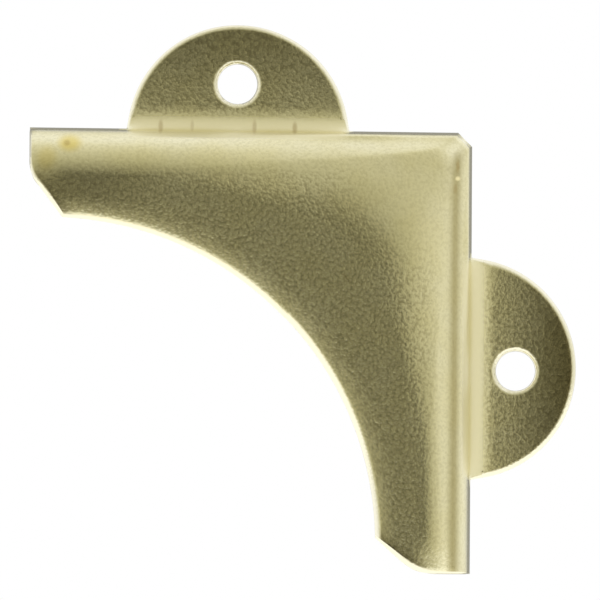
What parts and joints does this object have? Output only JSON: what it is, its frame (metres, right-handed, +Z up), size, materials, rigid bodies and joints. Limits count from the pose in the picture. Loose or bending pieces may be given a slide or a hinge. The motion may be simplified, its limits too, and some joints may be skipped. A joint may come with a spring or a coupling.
{
  "type": "mirror clip",
  "caption": "Pressed sheet-metal corner clip that holds a frameless mirror's corner to a wall, with a scooped front plate and two half-round screw tabs.",
  "frame": {"origin": "on the wall plane, midway between the two screw holes", "axes": "+X to the right along the wall, +Z up the wall, +Y into the wall, so the front plate faces -Y; the clip's outer corner is up and to the right"},
  "size_m": [0.0628, 0.0095, 0.0628],
  "materials": {
    "plated_brass": "bright brass plate on fine-grained sheet"
  },
  "bodies": {
    "root": {"mirror_clip": "plated_brass"}
  },
  "joints": []
}
